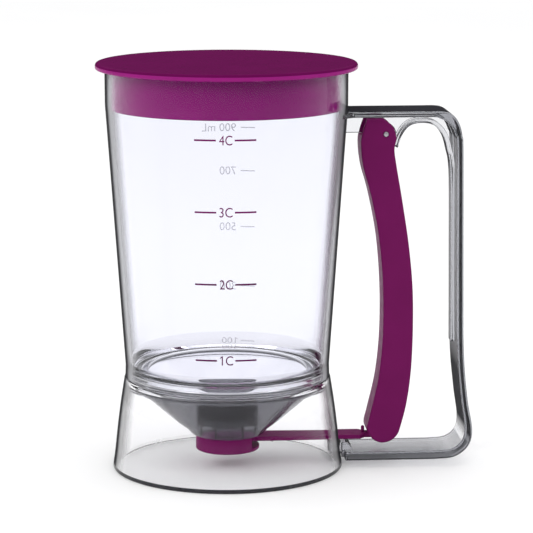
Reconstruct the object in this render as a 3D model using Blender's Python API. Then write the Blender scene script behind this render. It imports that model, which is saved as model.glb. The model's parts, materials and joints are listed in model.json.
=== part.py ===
"""Hand-held batter dispenser with a squeeze trigger, built as separate pieces.

A clear tapered jug stands on a clear flared skirt. A funnel hangs in the skirt and ends in a
round valve housing, whose outlet is closed by a flat gate. A curved trigger hangs on a pin in the
handle's web, and its lower end carries the gate's bar, so a squeeze draws the gate off the outlet.

Every size and place is in millimetres, measured from the jug's axis and the table. MM turns it
into metres where a mesh or a location is made. +Z is up and the handle is on the +X side.
"""
import math

import bmesh
import bpy
from mathutils import Matrix, Vector

MM = 0.001
GAP = 0.3              # space left between pieces that rest on each other
ROUND_STEPS = 72       # facets of the large turned pieces
SMALL_STEPS = 24       # facets of pins, bores and bosses

# Lid
LID_R = 60.7
LID_TOP_Z = 191.4
LID_RIM_Z = 188.3      # underside of the overhanging rim
LID_EDGE_R = 1.5
PLUG_BOTTOM_Z = 170.4
PLUG_R = 54.1
PLUG_WALL = 1.7
LID_WEB = 2.2          # thickness of the lid's middle

# Jug
JUG_WALL = 1.85
RIM_R = 56.3
RIM_BOTTOM_Z = 174.5
SEAM_Z = 43.9          # where the jug stands on the skirt
TAPER_TOP = (56.24, 172.0)
TAPER_BOTTOM = (48.2, 57.1)
WAIST_R = 47.9
FLOOR_Z = 46.1         # ledge inside the jug
FLOOR_OPENING_R = 37.9
FLOOR_FILLET_R = 7.0

# Skirt
SKIRT_WALL = 1.9
SKIRT_OUTLINE = ((54.2, 0.8), (53.2, 7.7), (51.9, 19.4), (50.4, 31.0), (48.5, 43.0))
SEAT_Z = 41.9          # ledge that carries the funnel's flange
SEAT_R = 45.6
REBATE_R = 47.2

# Funnel, a 45 degree cone
FLANGE_R = 46.9
FLANGE_T = 1.4
CONE_OUTER_OFFSET = 1.1    # outer radius less height
CONE_WALL = 2.0
FUNNEL_BOTTOM_Z = 15.4

# Sleeve standing in the funnel over the outlet
SLEEVE_R = 14.5
SLEEVE_BORE_R = 13.0
SLEEVE_TOP_Z = 34.5
PORT_W = 9.0
PORT_TOP_Z = 23.0
PORT_ANGLES = (45.0, 135.0)

# Valve
HOUSING_R = 15.0
HOUSING_WALL = 2.4
HOUSING_BOTTOM_Z = 8.1
HOUSING_FLOOR = 1.7
SEAT_DISC_R = 13.4
SEAT_DISC_TOP_Z = 16.4
OUTLET_R = 7.6
DISCHARGE_R = 8.4
GATE_Z = (12.5, 14.5)
GATE_R = 10.0
GATE_BAR_W = 12.0
GATE_NECK_W = 7.0
GATE_NECK_X = 65.0
GATE_END_X = 71.4
PEG_X = 64.3
PEG_R = 0.8
PEG_TOP_Z = 17.7
TAB_X = 69.4
TAB_TOP_Z = 18.5
BARB_X = (18.8, 21.2)
BARB_DEPTH = 0.9

# Handle
HANDLE_W = 27.0
ARM_TOP_Z = 168.9
ARM_UNDER_Z = 166.2
BASE_ARM_TOP_Z = 7.8
BASE_ARM_UNDER_Z = 3.7
GRIP_OUTER = ((93.0, 168.9), (98.0, 168.9), (101.5, 168.4), (104.2, 166.9), (106.1, 164.5),
              (107.5, 161.3), (108.4, 157.0), (109.0, 149.0), (109.8, 90.0), (110.5, 55.0),
              (112.5, 33.0), (114.9, 18.0), (113.2, 9.9), (106.5, 4.7), (97.0, 3.7))
GRIP_INNER = ((97.0, 7.8), (105.0, 8.6), (109.9, 12.3), (111.3, 19.5), (109.4, 33.5),
              (107.4, 55.0), (106.7, 90.0), (106.0, 149.0), (105.0, 158.0), (101.8, 163.4),
              (96.5, 166.2))
WEB_T = 3.0
WEB_UNDER_Z = 157.9
WEB_HEEL = ((66.5, 157.9), (69.0, 153.4), (73.0, 150.9), (77.5, 150.2))
RIB_W = 8.0
RIB_T = 2.2
RIB_FACE = ((79.5, 151.0), (81.6, 157.0), (85.2, 161.2), (90.6, 162.4), (96.2, 161.3),
            (100.3, 157.0), (102.6, 150.0), (104.4, 138.5), (105.0, 101.0), (105.5, 58.5))
FLARE_R = 14.0         # hollow corner where the top arm widens on to the jug
LUG_W = 14.0
LUG_TOP_Z = 11.4
LUG_X = 59.0
LUG_CORNER_R = 5.0
TONGUE_W = 10.0
TONGUE_Z = (5.2, 9.2)
HOOK_X = (48.6, 50.3)
HOOK_TOP_Z = 11.2

# Trigger and its pivot
PIVOT = (73.4, 157.9)
TRIGGER_W = 16.0
CHEEK_T = 2.0
FACE_T = 2.0
TRIGGER_OUTLINE = ((64.6, 165.0), (62.5, 158.6), (61.8, 152.5), (63.0, 142.5), (66.7, 129.0),
                   (70.6, 109.0), (72.6, 86.0), (72.7, 62.0), (70.8, 42.0), (67.2, 25.5),
                   (65.6, 18.5), (66.6, 14.9), (69.2, 12.0), (72.8, 10.8), (77.0, 11.8),
                   (80.0, 14.6), (81.5, 18.5), (84.3, 30.0), (86.3, 46.0), (87.0, 66.0),
                   (86.6, 86.0), (84.6, 106.0), (81.4, 126.5), (78.6, 142.5), (77.5, 150.5),
                   (78.3, 156.0), (76.6, 161.4), (72.3, 165.0))
TRIGGER_HEEL = 17      # index of the last outline point that the closed wall follows
FACE_TOP_Z = 157.0     # above this the trigger is two cheeks, open on the finger side too
BAR_NOTCH_TOP_Z = 15.6
PIN_R = 1.2
PIN_BORE_R = 1.35
PIN_Y = (-8.4, 9.5)
CLIP_R = 3.0
CLIP_Y = (8.3, 9.0)
BOSS_R = 5.0
BOSS_Y = (-5.6, 1.4)

# Return spring, wound round the pin beside the boss
SPRING_R = 3.4
SPRING_WIRE_R = 0.45
SPRING_Y = (2.1, 5.3)
SPRING_TURNS = 3.0
SPRING_LEG_END = (65.3, 147.0)
SPRING_TAIL_ANGLE = math.radians(60.0)
SPRING_TAIL_Y = -0.6
SPRING_HOLE_R = 0.8


# ---------------------------------------------------------------- outlines

def arc(centre, radius, start, end, steps):
    """Points on an arc, angles in degrees, both ends included."""
    angles = [math.radians(start + (end - start) * i / steps) for i in range(steps + 1)]
    return [(centre[0] + radius * math.cos(a), centre[1] + radius * math.sin(a)) for a in angles]


def smooth(points, steps=4):
    """Open Catmull-Rom curve through the points, both ends included."""
    ends = [Vector(p) for p in points]
    ends = [2 * ends[0] - ends[1]] + ends + [2 * ends[-1] - ends[-2]]
    curve = []
    for a, b, c, d in zip(ends, ends[1:], ends[2:], ends[3:]):
        for i in range(steps):
            t = i / steps
            curve.append(0.5 * ((2 * b) + (c - a) * t + (2 * a - 5 * b + 4 * c - d) * t * t
                                + (3 * b - a - 3 * c + d) * t * t * t))
    curve.append(ends[-2])
    return [(p.x, p.y) for p in curve]


def offset(points, distance):
    """The curve moved sideways, to the left of its direction where distance is positive."""
    moved = []
    for i, point in enumerate(points):
        before = Vector(points[max(i - 1, 0)])
        after = Vector(points[min(i + 1, len(points) - 1)])
        along = (after - before).normalized()
        moved.append((point[0] - along.y * distance, point[1] + along.x * distance))
    return moved


def jug_radius(z):
    """Outer radius of the jug's straight taper."""
    (r0, z0), (r1, z1) = TAPER_BOTTOM, TAPER_TOP
    return r0 + (r1 - r0) * (z - z0) / (z1 - z0)


def body_outline():
    """Outer radius and height of the jug and the skirt, from the table to the rim."""
    return [*SKIRT_OUTLINE, (48.05, SEAM_Z), (WAIST_R, 47.0), (WAIST_R, 52.0),
            TAPER_BOTTOM, TAPER_TOP, (RIM_R, RIM_BOTTOM_Z)]


# ---------------------------------------------------------------- making objects

def plastic(name, colour, roughness, metallic=0.0, alpha=1.0):
    material = bpy.data.materials.new(name)
    material.use_nodes = True
    shader = material.node_tree.nodes["Principled BSDF"]
    shader.inputs["Base Color"].default_value = (*colour, 1.0)
    shader.inputs["Roughness"].default_value = roughness
    shader.inputs["Metallic"].default_value = metallic
    shader.inputs["Alpha"].default_value = alpha
    return material


def add_object(name, bm, material, origin=(0.0, 0.0, 0.0)):
    """Turn a bmesh in millimetres into an object whose own origin is the given point."""
    bmesh.ops.remove_doubles(bm, verts=bm.verts, dist=1e-4)
    bmesh.ops.recalc_face_normals(bm, faces=bm.faces)
    bmesh.ops.translate(bm, verts=bm.verts, vec=[-v for v in origin])
    bmesh.ops.scale(bm, verts=bm.verts, vec=(MM, MM, MM))
    mesh = bpy.data.meshes.new(name)
    bm.to_mesh(mesh)
    bm.free()
    if material:
        mesh.materials.append(material)
        mesh.shade_smooth()
        mesh.set_sharp_from_angle(angle=math.radians(35.0))
    obj = bpy.data.objects.new(name, mesh)
    obj.location = ((origin[0] + AXIS_X) * MM, origin[1] * MM, origin[2] * MM)
    bpy.context.scene.collection.objects.link(obj)
    return obj


def turned(name, profile, material, origin=(0.0, 0.0, 0.0), steps=ROUND_STEPS):
    """Turn an outline of (radius, height) points once round the jug's axis.

    An outline that starts and ends on the axis is left open there.
    """
    bm = bmesh.new()
    verts = [bm.verts.new((r, 0.0, z)) for r, z in profile]
    pairs = list(zip(verts, verts[1:]))
    if profile[0][0] > 0.0:
        pairs.append((verts[-1], verts[0]))
    edges = [bm.edges.new(pair) for pair in pairs]
    bmesh.ops.spin(bm, geom=verts + edges, cent=(0, 0, 0), axis=(0, 0, 1),
                   angle=2 * math.pi, steps=steps, use_merge=True)
    return add_object(name, bm, material, origin)


def extruded(name, corners, direction, material, origin=(0.0, 0.0, 0.0)):
    """Close a polygon of 3-D corners and extrude it along the direction."""
    bm = bmesh.new()
    face = bm.faces.new([bm.verts.new(c) for c in corners])
    made = bmesh.ops.extrude_face_region(bm, geom=[face])
    moved = [g for g in made["geom"] if isinstance(g, bmesh.types.BMVert)]
    bmesh.ops.translate(bm, verts=moved, vec=direction)
    return add_object(name, bm, material, origin)


def side_plate(name, outline, width, material=None, origin=(0.0, 0.0, 0.0), middle=0.0):
    """A plate whose outline lies in the XZ plane, width across Y."""
    low = middle - width / 2
    return extruded(name, [(x, low, z) for x, z in outline], (0, width, 0), material, origin)


def flat_plate(name, outline, low, high, material=None, origin=(0.0, 0.0, 0.0)):
    """A plate whose outline lies in the XY plane, between two heights."""
    return extruded(name, [(x, y, low) for x, y in outline], (0, 0, high - low), material, origin)


def block(name, x, y, z, material=None):
    """A box between pairs of limits."""
    outline = [(x[0], y[0]), (x[1], y[0]), (x[1], y[1]), (x[0], y[1])]
    return flat_plate(name, outline, z[0], z[1], material)


def cross_rod(name, centre, radius, y, material=None, origin=(0.0, 0.0, 0.0), inner=0.0):
    """A round rod, or a ring where inner is given, across the handle at (x, z)."""
    bm = bmesh.new()
    sides = [bmesh.ops.create_circle(bm, segments=SMALL_STEPS, radius=radius)["verts"]]
    if inner:
        sides.append(bmesh.ops.create_circle(bm, segments=SMALL_STEPS, radius=inner)["verts"])
    for vert in bm.verts:
        vert.co = (centre[0] + vert.co.x, y[0], centre[1] + vert.co.y)
    if inner:
        bmesh.ops.bridge_loops(bm, edges=bm.edges[:])
    else:
        bm.faces.new(sides[0])
    made = bmesh.ops.extrude_face_region(bm, geom=bm.faces[:])
    moved = [g for g in made["geom"] if isinstance(g, bmesh.types.BMVert)]
    bmesh.ops.translate(bm, verts=moved, vec=(0, y[1] - y[0], 0))
    return add_object(name, bm, material, origin)


def combine(obj, tool, operation):
    """Join or cut an object with a hidden tool object."""
    tool.hide_render = True
    tool.display_type = "WIRE"
    modifier = obj.modifiers.new(tool.name, "BOOLEAN")
    modifier.object = tool
    modifier.operation = operation
    modifier.solver = "EXACT"


def join(obj, *tools):
    for tool in tools:
        combine(obj, tool, "UNION")


def cut(obj, *tools):
    for tool in tools:
        combine(obj, tool, "DIFFERENCE")


# ---------------------------------------------------------------- fixed pieces

def make_lid(material):
    edge = LID_EDGE_R
    inner_r = PLUG_R - PLUG_WALL
    ceiling = LID_TOP_Z - LID_WEB
    profile = [(0.0, LID_TOP_Z),
               *arc((LID_R - edge, LID_TOP_Z - edge), edge, 90, 0, 4),
               *arc((LID_R - 0.9, LID_RIM_Z + 0.9), 0.9, 0, -90, 3),
               (PLUG_R, LID_RIM_Z), (PLUG_R - 0.2, PLUG_BOTTOM_Z + 0.5),
               (PLUG_R - 0.7, PLUG_BOTTOM_Z), (inner_r + 0.2, PLUG_BOTTOM_Z),
               (inner_r - 0.2, PLUG_BOTTOM_Z + 0.5), (inner_r, ceiling - 1.0),
               (inner_r - 1.0, ceiling), (0.0, ceiling)]
    turned("lid", profile, material, origin=(0.0, 0.0, LID_RIM_Z))


def make_jug(material):
    rim_top = LID_RIM_Z - GAP
    wall = JUG_WALL
    fillet_z = FLOOR_Z + FLOOR_FILLET_R
    fillet_x = jug_radius(fillet_z) - wall - FLOOR_FILLET_R
    outside = [(48.05, SEAM_Z), (WAIST_R, 47.0), (WAIST_R, 52.0), TAPER_BOTTOM, TAPER_TOP,
               (RIM_R, RIM_BOTTOM_Z), (RIM_R, rim_top - 0.5), (RIM_R - 0.4, rim_top)]
    inside = [(RIM_R - wall + 0.4, rim_top), (RIM_R - wall, rim_top - 0.5),
              (RIM_R - wall, RIM_BOTTOM_Z), (TAPER_TOP[0] - wall, TAPER_TOP[1]),
              *arc((fillet_x, fillet_z), FLOOR_FILLET_R, 0, -90, 6)]
    lip = [(FLOOR_OPENING_R + 0.5, FLOOR_Z), (FLOOR_OPENING_R, FLOOR_Z - 0.5),
           (FLOOR_OPENING_R, SEAM_Z + 0.5), (FLOOR_OPENING_R + 0.5, SEAM_Z)]
    turned("jug", outside + inside + lip, material)


def make_base_skirt(material):
    top = SEAM_Z - GAP
    inner = [(r - SKIRT_WALL, z) for r, z in SKIRT_OUTLINE[:-1]]
    profile = [(SKIRT_OUTLINE[0][0] - 0.4, 0.0), *SKIRT_OUTLINE, (48.2, top), (REBATE_R, top),
               (REBATE_R, SEAT_Z), (SEAT_R, SEAT_Z), (SEAT_R, SEAT_Z - 1.2), (46.9, 39.0),
               *reversed(inner), (SKIRT_OUTLINE[0][0] - SKIRT_WALL + 0.2, 0.0)]
    skirt = turned("base_skirt", profile, material)
    bar_half = GATE_BAR_W / 2 + 0.5
    tongue_half = TONGUE_W / 2 + 0.4
    cut(skirt,
        block("skirt_bar_slot", (46, 56), (-bar_half, bar_half), (GATE_Z[0] - 0.6, GATE_Z[1] + 0.6)),
        block("skirt_tongue_slot", (47, 56), (-tongue_half, tongue_half),
              (TONGUE_Z[0] - 0.4, TONGUE_Z[1] + 0.4)))


def make_funnel(material):
    top = SEAM_Z - GAP
    under = top - FLANGE_T
    inner_offset = CONE_OUTER_OFFSET - CONE_WALL * math.sqrt(2.0)
    profile = [(FLANGE_R, top), (FLANGE_R, under), (under + CONE_OUTER_OFFSET, under),
               (17.6, 17.6 - CONE_OUTER_OFFSET), (16.4, FUNNEL_BOTTOM_Z + 0.2),
               (15.6, FUNNEL_BOTTOM_Z), (FUNNEL_BOTTOM_Z + inner_offset, FUNNEL_BOTTOM_Z),
               (top + inner_offset, top)]
    turned("funnel", profile, material)


def make_outlet_sleeve(material):
    """Straight sleeve inside the funnel, with ports at its foot for the batter outside it."""
    foot = SEAT_DISC_TOP_Z + GAP
    profile = [(SLEEVE_R, foot), (SLEEVE_R, SLEEVE_TOP_Z - 0.4), (SLEEVE_R - 0.4, SLEEVE_TOP_Z),
               (SLEEVE_BORE_R + 0.4, SLEEVE_TOP_Z), (SLEEVE_BORE_R, SLEEVE_TOP_Z - 0.4),
               (SLEEVE_BORE_R, foot)]
    sleeve = turned("outlet_sleeve", profile, material, steps=48)
    reach = SLEEVE_R + 4.0
    half = PORT_W / 2
    for angle in PORT_ANGLES:
        turn = Matrix.Rotation(math.radians(angle), 2)
        corners = [(-reach, -half), (reach, -half), (reach, half), (-reach, half)]
        outline = [turn @ Vector(corner) for corner in corners]
        cut(sleeve, flat_plate(f"sleeve_port_{angle:.0f}", outline, foot - 1.0, PORT_TOP_Z))


def make_valve_seat(material):
    """Soft disc between the funnel and the gate, with the outlet through its middle."""
    under = GATE_Z[1] + GAP
    shoulder = FUNNEL_BOTTOM_Z
    step_r = HOUSING_R - HOUSING_WALL - GAP
    profile = [(SEAT_DISC_R, SEAT_DISC_TOP_Z), (SEAT_DISC_R, shoulder), (step_r, shoulder),
               (step_r, under), (OUTLET_R, under), (OUTLET_R, SEAT_DISC_TOP_Z - 0.4),
               (OUTLET_R + 0.4, SEAT_DISC_TOP_Z)]
    turned("valve_seat", profile, material, steps=48)


def make_valve_housing(material):
    top = FUNNEL_BOTTOM_Z - GAP
    floor = HOUSING_BOTTOM_Z + HOUSING_FLOOR
    inner_r = HOUSING_R - HOUSING_WALL
    profile = [(HOUSING_R - 0.6, HOUSING_BOTTOM_Z), (HOUSING_R, HOUSING_BOTTOM_Z + 0.6),
               (HOUSING_R, top), (inner_r, top), (inner_r, floor), (DISCHARGE_R, floor),
               (DISCHARGE_R, HOUSING_BOTTOM_Z)]
    housing = turned("valve_housing", profile, material, steps=48)
    half = GATE_R + 0.4
    cut(housing, block("housing_gate_slot", (5, 17), (-half, half), (floor, top + 1)))


def make_handle(material):
    """Strap handle with a web under its top arm, a rib down its grip and a snap-in foot."""
    strap = [(50.0, ARM_TOP_Z), *smooth(GRIP_OUTER), (55.0, BASE_ARM_UNDER_Z),
             (55.0, BASE_ARM_TOP_Z), *smooth(GRIP_INNER), (50.0, ARM_UNDER_Z)]
    handle = side_plate("handle", strap, HANDLE_W, material)

    face = smooth(RIB_FACE)
    rib = face + offset(face, RIB_T)[::-1]
    web_edge = [p for p in offset(face, RIB_T / 2) if p[1] > 140.0]
    web = [(50.0, WEB_UNDER_Z), *WEB_HEEL, *web_edge, (107.4, 140.0), (107.2, 156.0),
           (104.0, 163.8), (98.0, 167.4), (50.0, 167.4)]

    outer_r = RIM_R
    flare_y = HANDLE_W / 2 + FLARE_R
    flare_x = math.sqrt((outer_r + FLARE_R) ** 2 - flare_y ** 2)
    touch = math.degrees(math.atan2(-flare_y, -flare_x))
    side = arc((flare_x, flare_y), FLARE_R, touch, -90, 8)
    flare = [(44.0, -18.0), *[(x, -y) for x, y in side], *side[::-1], (44.0, 18.0)]

    corner = (LUG_X - LUG_CORNER_R, LUG_TOP_Z - LUG_CORNER_R)
    lug = [(50.0, BASE_ARM_UNDER_Z + 0.2), (LUG_X, BASE_ARM_UNDER_Z + 0.2),
           *arc(corner, LUG_CORNER_R, 0, 90, 6), (50.0, LUG_TOP_Z)]
    tongue = [(HOOK_X[0], TONGUE_Z[0]), (56.0, TONGUE_Z[0]), (56.0, TONGUE_Z[1]),
              (HOOK_X[1], TONGUE_Z[1]), (HOOK_X[1], HOOK_TOP_Z), (HOOK_X[0], HOOK_TOP_Z - 1.2)]
    clearance = [(0.0, -4.0), (56.0, -4.0), *[(r + GAP, z) for r, z in body_outline()],
                 (RIM_R + GAP, 195.0), (0.0, 195.0)]

    join(handle,
         side_plate("handle_web", web, WEB_T),
         side_plate("handle_rib", rib, RIB_W),
         cross_rod("handle_boss", PIVOT, BOSS_R, BOSS_Y),
         flat_plate("handle_flare", flare, ARM_UNDER_Z + 0.3, ARM_TOP_Z - 0.3),
         side_plate("handle_lug", lug, LUG_W))
    cut(handle, turned("handle_clearance", clearance, None))
    join(handle, side_plate("handle_tongue", tongue, TONGUE_W))
    hole = spring_tail_centre()
    cut(handle,
        cross_rod("handle_pin_bore", PIVOT, PIN_BORE_R, (-7.0, 3.0)),
        cross_rod("handle_spring_hole", hole, SPRING_HOLE_R, (SPRING_TAIL_Y - 0.4, 3.0)))


# ---------------------------------------------------------------- moving pieces

def make_trigger(material):
    """Curved lever, a channel that is closed on the finger side and open towards the grip."""
    outline = smooth(TRIGGER_OUTLINE, steps=3)
    centre = (PIVOT[0], 0.0, PIVOT[1])
    trigger = side_plate("trigger", outline, TRIGGER_W, material, origin=centre)
    wall = offset(outline[:3 * TRIGGER_HEEL + 1], FACE_T)
    channel = [(wall[0][0], 170.0), *wall, (95.0, wall[-1][1]), (95.0, 170.0)]
    bar_half = GATE_NECK_W / 2 + 0.3
    gap_half = TRIGGER_W / 2 - CHEEK_T
    cut(trigger,
        side_plate("trigger_channel", channel, 2 * gap_half),
        block("trigger_open_top", (57, 68), (-gap_half, gap_half), (FACE_TOP_Z, 171)),
        block("trigger_bar_notch", (60, 76), (-bar_half, bar_half), (8, BAR_NOTCH_TOP_Z)),
        cross_rod("trigger_pin_bore", PIVOT, PIN_BORE_R, (-10, 10)))


def make_gate_slide(material):
    """Round-ended gate with a flat bar, a peg in front of the trigger and a tab behind it."""
    bar = GATE_BAR_W / 2
    neck = GATE_NECK_W / 2
    leave = math.degrees(math.asin(bar / GATE_R))
    outline = [*arc((0.0, 0.0), GATE_R, leave, 360 - leave, 28),
               (GATE_NECK_X - 2.5, -bar), (GATE_NECK_X, -neck), (GATE_END_X, -neck),
               (GATE_END_X, neck), (GATE_NECK_X, neck), (GATE_NECK_X - 2.5, bar)]
    gate = flat_plate("gate_slide", outline, *GATE_Z, material, origin=(0.0, 0.0, GATE_Z[0]))
    middle = (GATE_Z[0] + GATE_Z[1]) / 2
    peg = arc((PEG_X, 0.0), PEG_R, 0, 360 - 360 / SMALL_STEPS, SMALL_STEPS - 1)
    tab = [(TAB_X, middle), (GATE_END_X - 0.2, middle), (GATE_END_X - 0.2, TAB_TOP_Z),
           (TAB_X, TAB_TOP_Z)]
    barb = [(BARB_X[0], middle), (BARB_X[0], GATE_Z[0]), (BARB_X[1], GATE_Z[0] - BARB_DEPTH),
            (BARB_X[1], middle)]
    join(gate,
         flat_plate("gate_peg", peg, middle, PEG_TOP_Z),
         side_plate("gate_tab", tab, GATE_NECK_W - 0.4),
         side_plate("gate_barb", barb, GATE_BAR_W - 4.0))


def make_pivot_pin(material):
    cross_rod("pivot_pin", PIVOT, PIN_R, PIN_Y, material, origin=(PIVOT[0], 0.0, PIVOT[1]))


def make_pin_clip(material):
    cross_rod("pin_clip", PIVOT, CLIP_R, CLIP_Y, material,
              origin=(PIVOT[0], 0.0, PIVOT[1]), inner=PIN_R + GAP)


def spring_tail_centre():
    return (PIVOT[0] + SPRING_R * math.cos(SPRING_TAIL_ANGLE),
            PIVOT[1] + SPRING_R * math.sin(SPRING_TAIL_ANGLE))


def spring_path():
    """Wire from the leg on the trigger's face, round the pin, to the tail in the boss."""
    leg = Vector((SPRING_LEG_END[0] - PIVOT[0], SPRING_LEG_END[1] - PIVOT[1]))
    tangent = math.atan2(leg.y, leg.x) - math.acos(SPRING_R / leg.length)
    total = 2 * math.pi * SPRING_TURNS + (tangent - SPRING_TAIL_ANGLE) % (2 * math.pi)
    steps = 16 * math.ceil(total / (2 * math.pi))
    path = [(SPRING_LEG_END[0], SPRING_Y[1], SPRING_LEG_END[1])]
    for i in range(steps + 1):
        angle = tangent - total * i / steps
        y = SPRING_Y[1] + (SPRING_Y[0] - SPRING_Y[1]) * i / steps
        path.append((PIVOT[0] + SPRING_R * math.cos(angle), y, PIVOT[1] + SPRING_R * math.sin(angle)))
    path.append((path[-1][0], SPRING_TAIL_Y, path[-1][2]))
    return path


def make_return_spring(material):
    curve = bpy.data.curves.new("return_spring", "CURVE")
    curve.dimensions = "3D"
    curve.bevel_depth = SPRING_WIRE_R * MM
    curve.bevel_resolution = 1
    curve.use_fill_caps = True
    path = spring_path()
    spline = curve.splines.new("POLY")
    spline.points.add(len(path) - 1)
    for point, (x, y, z) in zip(spline.points, path):
        point.co = ((x - PIVOT[0]) * MM, y * MM, (z - PIVOT[1]) * MM, 1.0)
    curve.materials.append(material)
    spring = bpy.data.objects.new("return_spring", curve)
    spring.location = ((PIVOT[0] + AXIS_X) * MM, 0.0, PIVOT[1] * MM)
    bpy.context.scene.collection.objects.link(spring)


# ---------------------------------------------------------------- assembly

HANDLE_REACH = max(x for x, _ in smooth(GRIP_OUTER))
AXIS_X = (LID_R - HANDLE_REACH) / 2    # puts the whole object's middle at X = 0


def main():
    for obj in list(bpy.data.objects):
        bpy.data.objects.remove(obj, do_unlink=True)

    purple = plastic("purple_gloss", (0.16, 0.011, 0.09), 0.22)
    purple_satin = plastic("purple_satin", (0.15, 0.011, 0.085), 0.38)
    clear = plastic("clear_plastic", (0.93, 0.95, 0.97), 0.05, alpha=0.35)
    smoke = plastic("smoke_plastic", (0.35, 0.36, 0.38), 0.08, alpha=0.6)
    soft = plastic("purple_silicone", (0.14, 0.012, 0.08), 0.6)
    steel = plastic("steel", (0.72, 0.72, 0.74), 0.25, metallic=1.0)

    make_lid(purple)
    make_jug(clear)
    make_base_skirt(clear)
    make_funnel(smoke)
    make_outlet_sleeve(smoke)
    make_valve_seat(soft)
    make_valve_housing(purple)
    make_handle(clear)
    make_trigger(purple_satin)
    make_gate_slide(purple_satin)
    make_pivot_pin(steel)
    make_pin_clip(steel)
    make_return_spring(steel)


main()
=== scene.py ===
"""Looks of the hand-held batter dispenser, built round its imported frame.

Every size and place is in millimetres, measured from the jug's axis and the table, as in the
part's own design. TO_FRAME turns them into the frame's metres. +X is towards the handle, and the
cup scale faces -Y.
"""
import json
import math

import bmesh
import bpy
from mathutils import Matrix, Vector


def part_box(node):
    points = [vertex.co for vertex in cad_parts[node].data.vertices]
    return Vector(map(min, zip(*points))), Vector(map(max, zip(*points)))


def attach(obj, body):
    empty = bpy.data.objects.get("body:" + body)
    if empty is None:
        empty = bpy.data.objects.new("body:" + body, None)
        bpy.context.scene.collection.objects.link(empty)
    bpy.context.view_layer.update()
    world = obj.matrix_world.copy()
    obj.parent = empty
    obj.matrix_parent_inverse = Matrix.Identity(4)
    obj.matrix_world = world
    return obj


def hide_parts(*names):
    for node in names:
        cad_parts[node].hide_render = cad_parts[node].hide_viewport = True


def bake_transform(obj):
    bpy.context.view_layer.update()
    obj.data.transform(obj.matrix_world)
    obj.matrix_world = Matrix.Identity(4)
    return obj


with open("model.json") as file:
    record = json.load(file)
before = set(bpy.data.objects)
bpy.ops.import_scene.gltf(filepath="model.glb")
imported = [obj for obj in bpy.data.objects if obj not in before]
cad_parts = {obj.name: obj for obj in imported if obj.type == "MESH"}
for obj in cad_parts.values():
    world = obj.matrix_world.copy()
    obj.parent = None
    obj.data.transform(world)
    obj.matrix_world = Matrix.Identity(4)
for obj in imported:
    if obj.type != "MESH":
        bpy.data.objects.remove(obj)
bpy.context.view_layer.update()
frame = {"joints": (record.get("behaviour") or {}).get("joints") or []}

MM = 0.001
GAP = 0.3              # space left between pieces that rest on each other
ROUND_STEPS = 192      # facets of the large turned pieces
SMALL_STEPS = 64       # facets of the pin, its bores and the boss
SMOOTH_STEPS = 8       # segments between two points of a smoothed outline
SUPPORT = 0.12         # width of the narrow faces that keep flat faces shaded flat

LOW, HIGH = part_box("jug")
AXIS_X = (LOW.x + HIGH.x) / 2 / MM
HINGE = next(j for j in frame["joints"] if j["name"] == "trigger_hinge")
PIVOT = (HINGE["pos_m"][0] / MM - AXIS_X, HINGE["pos_m"][2] / MM)
TO_FRAME = Matrix.Scale(MM, 4) @ Matrix.Translation((AXIS_X, 0.0, 0.0))

# Lid
LID_R = 60.7
LID_TOP_Z = 191.4
LID_RIM_Z = 188.3      # underside of the overhanging rim
LID_EDGE_R = 1.5
LID_UNDER_EDGE_R = 0.9
LID_WEB = 2.2          # thickness of the lid's middle
LID_FILLET_R = 1.2     # hollow corner under the lid's middle
PLUG_BOTTOM_Z = 170.4
PLUG_R = 54.1
PLUG_WALL = 1.7
PLUG_TAPER = 0.2       # how much narrower the plug is at its foot
PLUG_ROOT_R = 0.4      # hollow corner where the plug meets the rim
PLUG_EDGE_R = 0.6
LIT_SIDES_TOP_Z = 190.3   # painted light on the sides ends here

# Jug
JUG_WALL = 1.85
RIM_R = 56.3
RIM_BOTTOM_Z = 174.5
SEAM_Z = 43.9          # where the jug stands on the skirt
FOOT_R = 48.05
TAPER_TOP = (56.24, 172.0)
TAPER_BOTTOM = (48.2, 57.1)
TAPER_BEND_R = 30.0    # gentle bend at the top of the taper
WAIST_R = 47.9
WAIST_Z = 49.5
WAIST_BEND_R = 22.0
FLOOR_Z = 46.1         # ledge inside the jug
FLOOR_FILLET_R = 7.0
FLOOR_OPENING_R = 37.9
LEDGE_OUTER_R = 44.5   # the ledge's painted shade covers its underside out to here

# Skirt
SKIRT_WALL = 1.9
SKIRT_OUTLINE = ((54.2, 0.8), (53.2, 7.7), (51.9, 19.4), (50.4, 31.0), (48.5, 43.0))
SKIRT_TOP_R = 48.2
SEAT_Z = 41.9          # ledge that carries the funnel's flange
SEAT_R = 45.6
SEAT_T = 1.2
SEAT_FOOT = (46.9, 39.0)   # where the ledge's slope meets the wall
REBATE_R = 47.2

# Funnel and the sleeve in it
FLANGE_R = 46.9
FLANGE_T = 1.4
CONE_OUTER_OFFSET = 1.1    # outer radius less height
CONE_WALL = 2.0
CONE_FOOT_R = 17.2     # where the cone ends in a short spigot
SPIGOT_R = 15.6
FUNNEL_BOTTOM_Z = 15.4
SLEEVE_R = 14.5
SLEEVE_BORE_R = 13.0
SLEEVE_TOP_Z = 34.5
PORT_W = 9.0
PORT_TOP_Z = 23.0
PORT_ANGLES = (45.0, 135.0)    # each cuts both sides of the sleeve
SLEEVE_DARK_Z = 22.0   # the sleeve is dark above this height

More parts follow.
